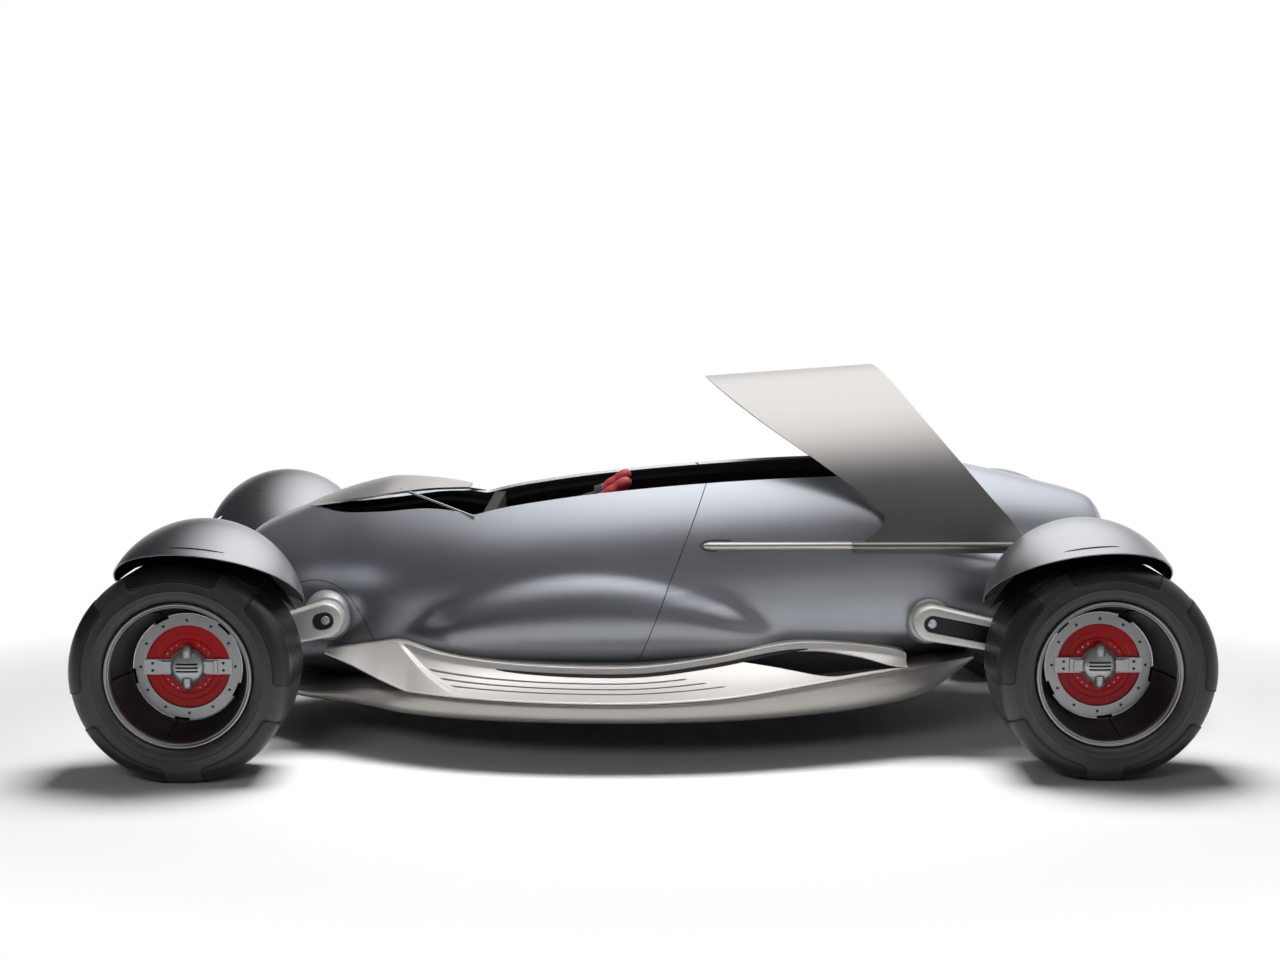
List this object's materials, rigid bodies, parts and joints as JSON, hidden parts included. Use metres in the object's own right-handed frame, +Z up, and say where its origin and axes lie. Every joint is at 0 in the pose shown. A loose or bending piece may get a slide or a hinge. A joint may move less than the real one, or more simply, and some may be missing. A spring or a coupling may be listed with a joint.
{
  "type": "open race car",
  "caption": "Open single-seat race car with a boat-shaped silver body, in-wheel motors behind red covers, domed mudguards and a swept hoop over the cockpit.",
  "frame": {"origin": "on the ground, midway between the axles, in the car's middle plane", "axes": "+X towards the tail (the nose faces -X), +Y to the car's right, -Y to its left side, +Z up"},
  "size_m": [3.72, 1.942, 1.3167],
  "materials": {
    "body_silver": "satin silver",
    "bright_metal": "machined, satin",
    "dark_metal": "dark anodised",
    "rim_dark": "dark satin",
    "lining": "black, matte",
    "red_leather": "dark red",
    "red_paint": "dark red, gloss",
    "tyre": "matte black rubber"
  },
  "bodies": {
    "chassis": {"front_body": "body_silver", "rear_body": "body_silver", "hull": "body_silver", "left_deck": "body_silver", "right_deck": "body_silver", "visor": "body_silver", "hoop": "body_silver", "tail_fairing": "body_silver", "left_rail": "body_silver", "right_rail": "body_silver", "cockpit_tub": "lining", "dash": "lining", "steering_column": "dark_metal", "steering_yoke": "red_leather", "seat": "red_leather", "power_unit": "dark_metal", "jack_pads": "dark_metal", "front_left_arm": "bright_metal", "front_right_arm": "bright_metal", "rear_left_arm": "bright_metal", "rear_right_arm": "bright_metal", "rear_left_carrier": "dark_metal", "rear_right_carrier": "dark_metal", "rear_left_motor_face": "bright_metal", "rear_right_motor_face": "bright_metal", "rear_left_cover": "red_paint", "rear_right_cover": "red_paint", "rear_left_mudguard": "body_silver", "rear_right_mudguard": "body_silver"},
    "front_left_knuckle": {"front_left_carrier": "dark_metal", "front_left_motor_face": "bright_metal", "front_left_cover": "red_paint", "front_left_mudguard": "body_silver"},
    "front_right_knuckle": {"front_right_carrier": "dark_metal", "front_right_motor_face": "bright_metal", "front_right_cover": "red_paint", "front_right_mudguard": "body_silver"},
    "front_left_wheel": {"front_left_rim": "rim_dark", "front_left_tyre": "tyre"},
    "front_right_wheel": {"front_right_rim": "rim_dark", "front_right_tyre": "tyre"},
    "rear_left_wheel": {"rear_left_rim": "rim_dark", "rear_left_tyre": "tyre"},
    "rear_right_wheel": {"rear_right_rim": "rim_dark", "rear_right_tyre": "tyre"}
  },
  "joints": [
    {"name": "steer_left", "type": "hinge", "parent": "chassis", "child": "front_left_knuckle", "pos_m": [-1.5, -0.6, 0.36], "axis": [0, 0, 1], "range_deg": [-15, 15]},
    {"name": "steer_right", "type": "hinge", "parent": "chassis", "child": "front_right_knuckle", "pos_m": [-1.5, 0.6, 0.36], "axis": [0, 0, 1], "range_deg": [-15, 15]},
    {"name": "spin_front_left", "type": "hinge", "parent": "front_left_knuckle", "child": "front_left_wheel", "pos_m": [-1.5, -0.74, 0.36], "axis": [0, 1, 0], "continuous": true},
    {"name": "spin_front_right", "type": "hinge", "parent": "front_right_knuckle", "child": "front_right_wheel", "pos_m": [-1.5, 0.74, 0.36], "axis": [0, 1, 0], "continuous": true},
    {"name": "spin_rear_left", "type": "hinge", "parent": "chassis", "child": "rear_left_wheel", "pos_m": [1.5, -0.74, 0.36], "axis": [0, 1, 0], "continuous": true},
    {"name": "spin_rear_right", "type": "hinge", "parent": "chassis", "child": "rear_right_wheel", "pos_m": [1.5, 0.74, 0.36], "axis": [0, 1, 0], "continuous": true}
  ],
  "couplings": [
    {"joint": "steer_right", "follows": "steer_left", "ratio": 1}
  ]
}
